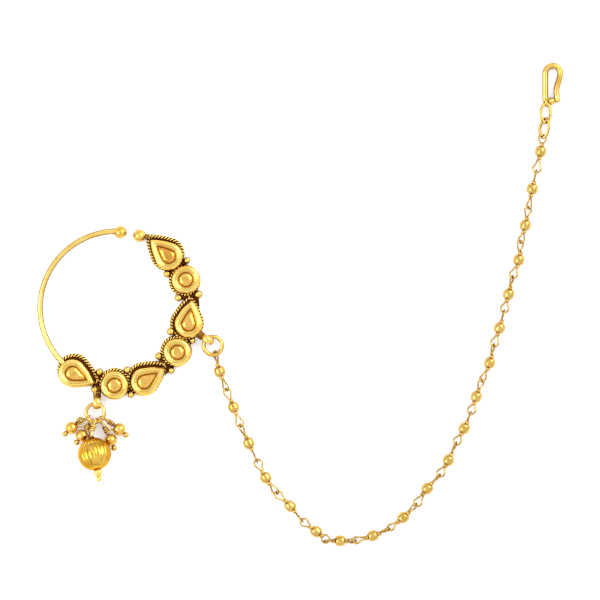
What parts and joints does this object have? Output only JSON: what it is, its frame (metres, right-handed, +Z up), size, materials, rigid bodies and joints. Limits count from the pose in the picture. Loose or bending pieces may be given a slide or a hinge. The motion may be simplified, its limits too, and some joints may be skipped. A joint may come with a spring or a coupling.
{
  "type": "nath nose ring",
  "caption": "Open wire nose hoop with a row of stone settings, a cluster of bead drops and a bead chain that ends in a hair hook.",
  "frame": {"origin": "middle of the footprint, on the surface that the jewel lies on", "axes": "+Z up from the surface, +X from the hoop towards the hook's side, +Y from the drops towards the hook"},
  "size_m": [0.1368, 0.1256, 0.0084],
  "materials": {
    "antique_gold": "gold plate over brass, polished high spots with dark antique recesses",
    "bright_gold": "polished yellow gold plate",
    "ribbed_gold": "gold plate with darkened grooves between ribs",
    "amber_glass": "foil-backed cut glass, pale amber, glossy"
  },
  "bodies": {
    "root": {"nath_frame": "antique_gold", "chain_link_01": "bright_gold", "chain_link_02": "bright_gold", "chain_link_03": "bright_gold", "chain_link_04": "bright_gold", "chain_link_05": "bright_gold", "chain_link_06": "bright_gold", "chain_link_07": "bright_gold", "chain_link_08": "bright_gold", "chain_link_09": "bright_gold", "chain_link_10": "bright_gold", "chain_link_11": "bright_gold", "chain_link_12": "bright_gold", "chain_link_13": "bright_gold", "chain_link_14": "bright_gold", "chain_link_15": "bright_gold", "chain_link_16": "bright_gold", "chain_link_17": "bright_gold", "chain_link_18": "bright_gold", "chain_link_19": "bright_gold", "chain_link_20": "bright_gold", "drop_1_bead": "bright_gold", "drop_1_pin": "bright_gold", "drop_2_bead": "bright_gold", "drop_2_pin": "bright_gold", "drop_3_bead": "bright_gold", "drop_3_pin": "bright_gold", "drop_4_bead": "bright_gold", "drop_4_pin": "bright_gold", "drop_jump_ring": "bright_gold", "chain_jump_ring": "bright_gold", "oval_link_1": "bright_gold", "oval_link_2": "bright_gold", "hook": "bright_gold", "melon_bead": "ribbed_gold", "melon_pin": "ribbed_gold", "stone_pear_1": "amber_glass", "stone_pear_2": "amber_glass", "stone_pear_3": "amber_glass", "stone_pear_4": "amber_glass", "stone_round_1": "amber_glass", "stone_round_2": "amber_glass", "stone_round_3": "amber_glass"}
  },
  "joints": []
}
